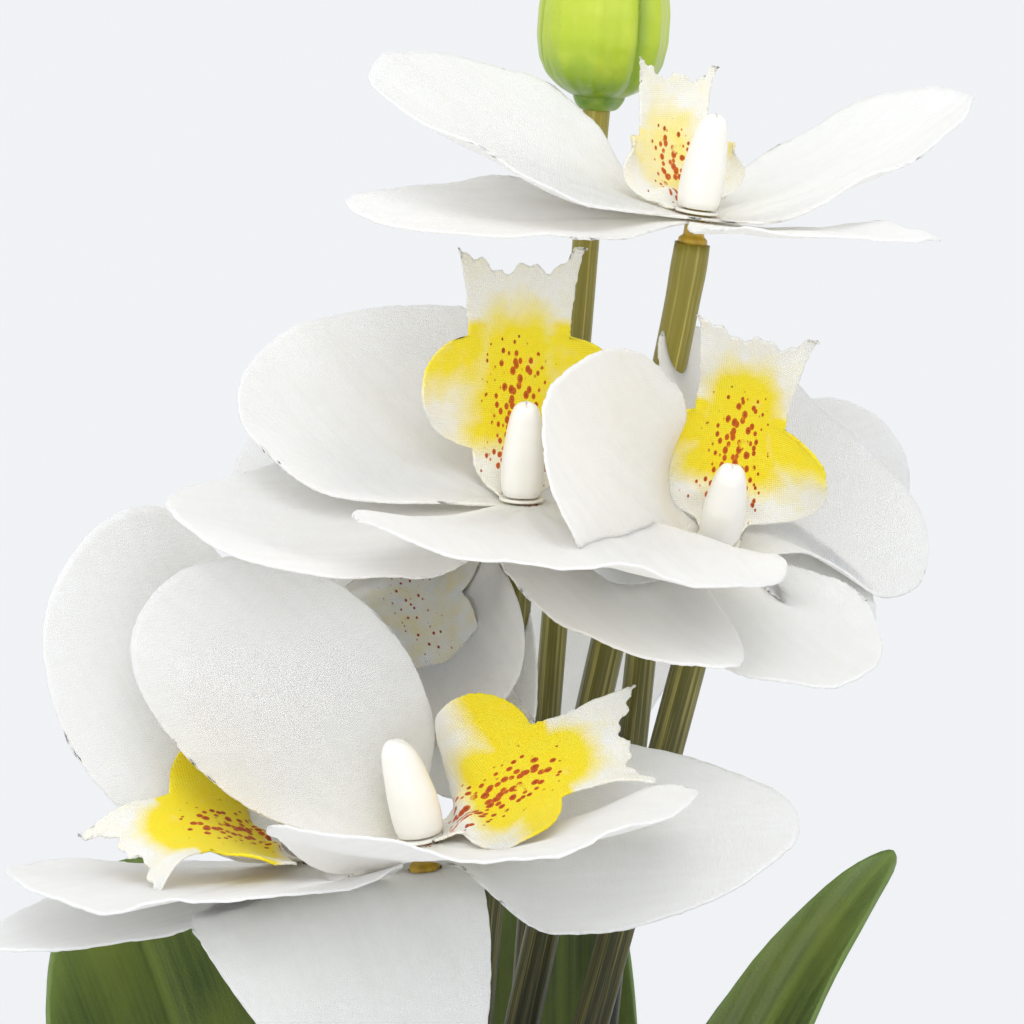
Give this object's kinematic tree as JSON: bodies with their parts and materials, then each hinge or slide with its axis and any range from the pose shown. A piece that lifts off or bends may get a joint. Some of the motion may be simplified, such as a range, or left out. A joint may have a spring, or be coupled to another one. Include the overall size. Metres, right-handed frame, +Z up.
{
  "type": "artificial potted orchid",
  "caption": "Artificial moth orchid with white fabric flowers, spotted yellow lips, olive stems, a green bud and strap leaves, standing in a plain glazed pot.",
  "frame": {"origin": "centre of the pot's flat foot, on the surface it stands on", "axes": "+Z up along the pot's axis, -Y towards the viewer of the flowers' front, +X to that viewer's right"},
  "size_m": [0.1914, 0.23, 0.369],
  "materials": {
    "petal_fabric": "stiffened woven fabric, matt, warm white",
    "lip_fabric": "stiffened woven fabric, printed yellow with red-brown spots",
    "column": "moulded, waxy white",
    "peg": "moulded, amber",
    "stem": "moulded, olive with lengthwise streaks, darker towards the soil",
    "bud": "moulded, yellow-green, satin",
    "leaf": "coated fabric, dark green, satin",
    "pot": "glazed white, no decoration",
    "soil": "granular, dark brown",
    "foam": "rigid foam, grey-green"
  },
  "bodies": {
    "root": {"bud": "bud", "bud_stem": "stem", "flower_1_column": "column", "flower_1_lip": "lip_fabric", "flower_1_peg": "peg", "flower_1_petals": "petal_fabric", "flower_1_sepals": "petal_fabric", "flower_1_stem": "stem", "flower_2_column": "column", "flower_2_lip": "lip_fabric", "flower_2_peg": "peg", "flower_2_petals": "petal_fabric", "flower_2_sepals": "petal_fabric", "flower_2_stem": "stem", "flower_3_column": "column", "flower_3_lip": "lip_fabric", "flower_3_peg": "peg", "flower_3_petals": "petal_fabric", "flower_3_sepals": "petal_fabric", "flower_3_stem": "stem", "flower_4_column": "column", "flower_4_lip": "lip_fabric", "flower_4_peg": "peg", "flower_4_petals": "petal_fabric", "flower_4_sepals": "petal_fabric", "flower_4_stem": "stem", "flower_5_column": "column", "flower_5_lip": "lip_fabric", "flower_5_peg": "peg", "flower_5_petals": "petal_fabric", "flower_5_sepals": "petal_fabric", "flower_5_stem": "stem", "flower_6_column": "column", "flower_6_lip": "lip_fabric", "flower_6_peg": "peg", "flower_6_petals": "petal_fabric", "flower_6_sepals": "petal_fabric", "flower_6_stem": "stem", "flower_7_column": "column", "flower_7_lip": "lip_fabric", "flower_7_peg": "peg", "flower_7_petals": "petal_fabric", "flower_7_sepals": "petal_fabric", "flower_7_stem": "stem", "foam_block": "foam", "leaf_back": "leaf", "leaf_back_left": "leaf", "leaf_back_right": "leaf", "leaf_front": "leaf", "leaf_front_left": "leaf", "leaf_left": "leaf", "leaf_right": "leaf", "pot": "pot", "soil": "soil"}
  },
  "joints": []
}
